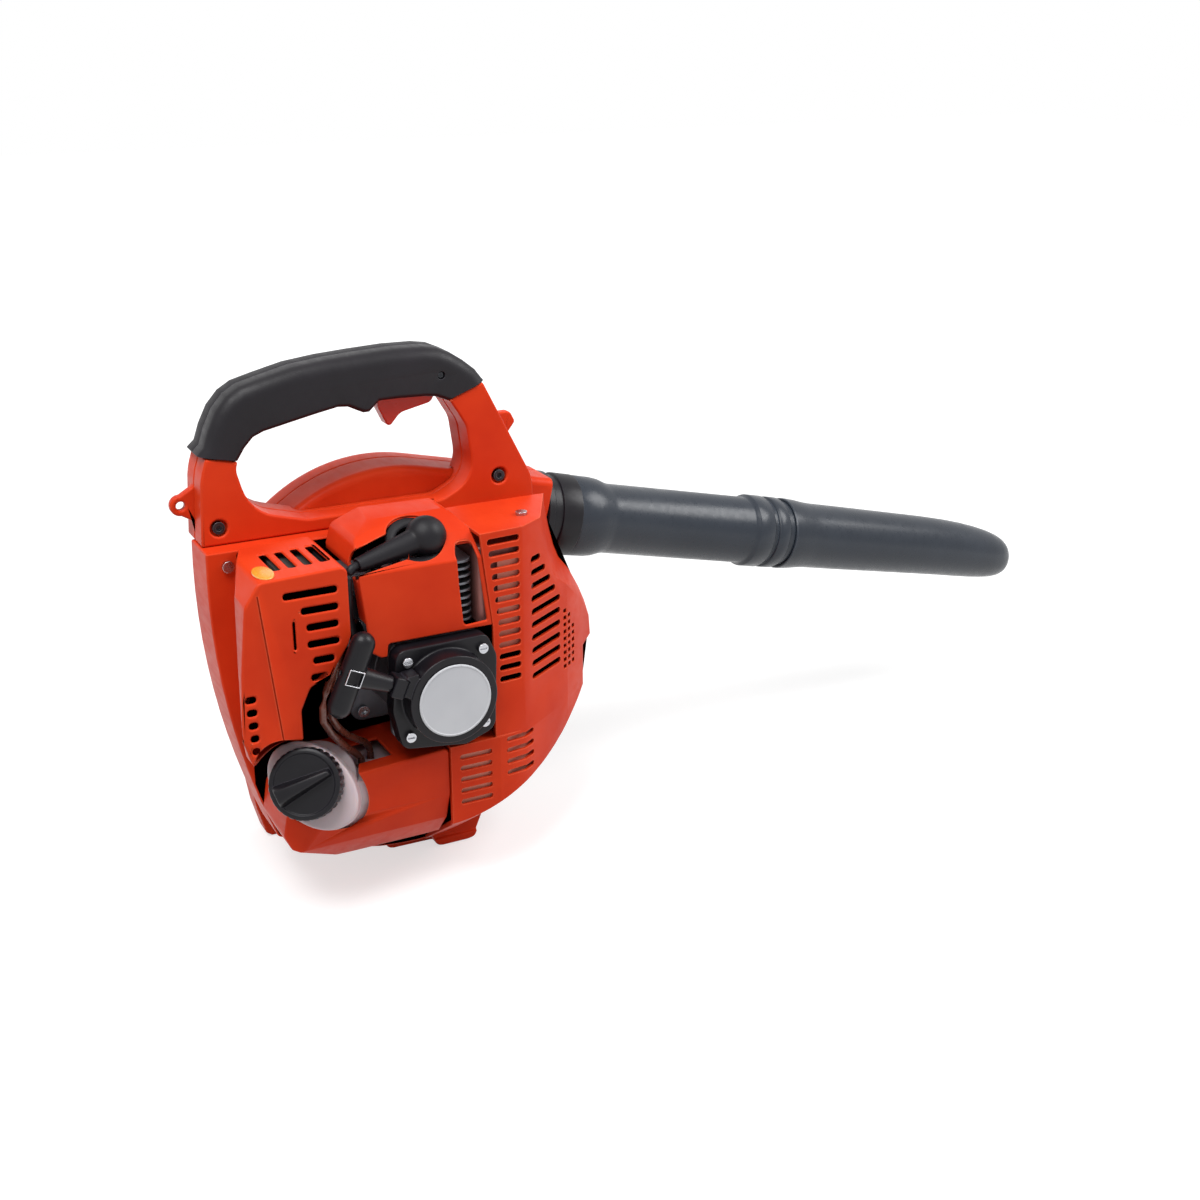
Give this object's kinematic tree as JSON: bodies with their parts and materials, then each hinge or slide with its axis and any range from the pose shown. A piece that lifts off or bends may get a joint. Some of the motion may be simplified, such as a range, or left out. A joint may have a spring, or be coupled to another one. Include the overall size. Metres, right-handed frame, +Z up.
{
  "type": "handheld leaf blower",
  "caption": "Hand-held petrol leaf blower: round fan casing, engine with recoil starter, air cleaner, fuel tank, arched top handle with trigger, and a long tapering blow pipe.",
  "frame": {"origin": "on the floor, straight under the crank axis, which is 158 mm above it", "axes": "+X towards the nozzle, -Y towards the engine and starter side, +Z up"},
  "size_m": [0.7504, 0.1963, 0.3723],
  "materials": {
    "orange_shell": "moulded nylon, orange-red, half gloss",
    "red_control": "moulded nylon, red",
    "black_grip": "moulded nylon, black, fine grain",
    "black_plastic": "moulded nylon, black",
    "slate_pipe": "blow moulded polyethylene, dark slate",
    "label_disc": "blank satin disc",
    "tank_plastic": "translucent white polyethylene",
    "black_rubber": "moulded rubber",
    "hose_rubber": "translucent fuel hose",
    "filter_felt": "felt and foam",
    "cast_alloy": "die cast, bead blasted",
    "bright_steel": "zinc plated",
    "dark_steel": "blackened",
    "muffler_steel": "heat tinted",
    "fan_plastic": "glass filled nylon",
    "insulator": "phenolic",
    "rope_fibre": "braided nylon"
  },
  "bodies": {
    "case": {"main_case": "orange_shell", "fan_casing_inner": "orange_shell", "fan_casing_outer": "orange_shell", "handle_frame_near": "orange_shell", "handle_frame_far": "orange_shell", "grip_near": "black_grip", "grip_far": "black_grip", "trigger_pin": "bright_steel", "handle_bolts": "dark_steel", "grip_screws": "bright_steel", "engine_cover": "orange_shell", "cylinder_cover": "orange_shell", "air_cleaner_base": "black_plastic", "air_cleaner_cover": "orange_shell", "air_filter": "filter_felt", "carburettor": "cast_alloy", "insulator_block": "insulator", "crankcase_front": "cast_alloy", "crankcase_rear": "cast_alloy", "engine_cylinder": "cast_alloy", "main_bearings": "bright_steel", "ignition_coil": "dark_steel", "spark_plug": "bright_steel", "plug_boot": "black_rubber", "ht_lead": "black_rubber", "muffler": "muffler_steel", "starter_housing": "black_plastic", "starter_badge": "label_disc", "recoil_spring": "dark_steel", "starter_rope": "rope_fibre", "starter_screws": "bright_steel", "fuel_tank": "tank_plastic", "fuel_hoses": "hose_rubber", "fuel_filter": "filter_felt", "lower_shroud": "orange_shell", "outlet_collar": "black_plastic", "engine_bolts": "bright_steel", "case_screws": "bright_steel", "cover_screws": "bright_steel"},
    "rotor": {"crankshaft": "bright_steel", "flywheel": "cast_alloy", "ratchet_hub": "bright_steel", "impeller": "fan_plastic", "fan_nut": "bright_steel"},
    "piston_group": {"piston": "cast_alloy", "wrist_pin": "bright_steel"},
    "trigger": {"throttle_trigger": "red_control"},
    "speed_lever": {"speed_set_lever": "orange_shell"},
    "switch": {"stop_switch": "red_control"},
    "choke": {"choke_lever": "black_plastic"},
    "bulb": {"primer_bulb": "hose_rubber"},
    "pull_grip": {"starter_grip": "black_plastic"},
    "reel": {"starter_reel": "fan_plastic"},
    "cap_seal": {"cap_gasket": "black_rubber"},
    "cap": {"fuel_cap": "black_plastic"},
    "pipe": {"blow_pipe": "slate_pipe"},
    "nozzle": {"nozzle_pipe": "slate_pipe"}
  },
  "joints": [
    {"name": "crank_spin", "type": "hinge", "parent": "case", "child": "rotor", "pos_m": [0, 0, 0.158], "axis": [0, 1, 0], "continuous": true},
    {"name": "piston_slide", "type": "slide", "parent": "case", "child": "piston_group", "axis": [0, 0, 1], "range_m": [-0.028, 0]},
    {"name": "throttle_squeeze", "type": "hinge", "parent": "case", "child": "trigger", "pos_m": [0.04, 0.02, 0.352], "axis": [0, 1, 0], "range_deg": [0, 14], "stiffness_Nm_per_rad": 0.6, "springref_deg": -14.32},
    {"name": "speed_lever_turn", "type": "hinge", "parent": "case", "child": "speed_lever", "pos_m": [0.086, 0.0423, 0.303], "axis": [0, 1, 0], "range_deg": [0, 40]},
    {"name": "stop_switch_slide", "type": "slide", "parent": "case", "child": "switch", "axis": [0, 0, 1], "range_m": [0, 0.005]},
    {"name": "choke_turn", "type": "hinge", "parent": "case", "child": "choke", "pos_m": [-0.051, -0.054, 0.224], "axis": [0, -1, 0], "range_deg": [0, 75]},
    {"name": "primer_press", "type": "slide", "parent": "case", "child": "bulb", "axis": [0, 0, 1], "range_m": [0, 0.003], "stiffness_N_per_m": 600},
    {"name": "starter_pull", "type": "slide", "parent": "case", "child": "pull_grip", "axis": [-0.9135, 0, 0.4067], "range_m": [0, 0.6], "stiffness_N_per_m": 8, "springref_m": -0.4},
    {"name": "reel_spin", "type": "hinge", "parent": "case", "child": "reel", "pos_m": [0, -0.094, 0.158], "axis": [0, 1, 0], "range_deg": [-1734, 0]},
    {"name": "cap_rise", "type": "slide", "parent": "case", "child": "cap_seal", "axis": [-0.4498, -0.7983, 0.4003], "range_m": [0, 0.0061]},
    {"name": "cap_turn", "type": "hinge", "parent": "cap_seal", "child": "cap", "pos_m": [-0.106, -0.096, 0.118], "axis": [-0.4498, -0.7983, 0.4003], "range_deg": [0, 720]},
    {"name": "pipe_lock_turn", "type": "hinge", "parent": "case", "child": "pipe", "pos_m": [0.02105, 0.056, 0.25064], "axis": [0.9751, 0, -0.2215], "range_deg": [0, 30]},
    {"name": "nozzle_turn", "type": "hinge", "parent": "pipe", "child": "nozzle", "pos_m": [0.02105, 0.056, 0.25064], "axis": [0.9751, 0, -0.2215], "range_deg": [-90, 90]}
  ],
  "couplings": [
    {"joint": "reel_spin", "follows": "starter_pull", "rad_per_m": -50.378},
    {"joint": "cap_rise", "follows": "cap_turn", "m_per_rad": 0.00047746}
  ]
}
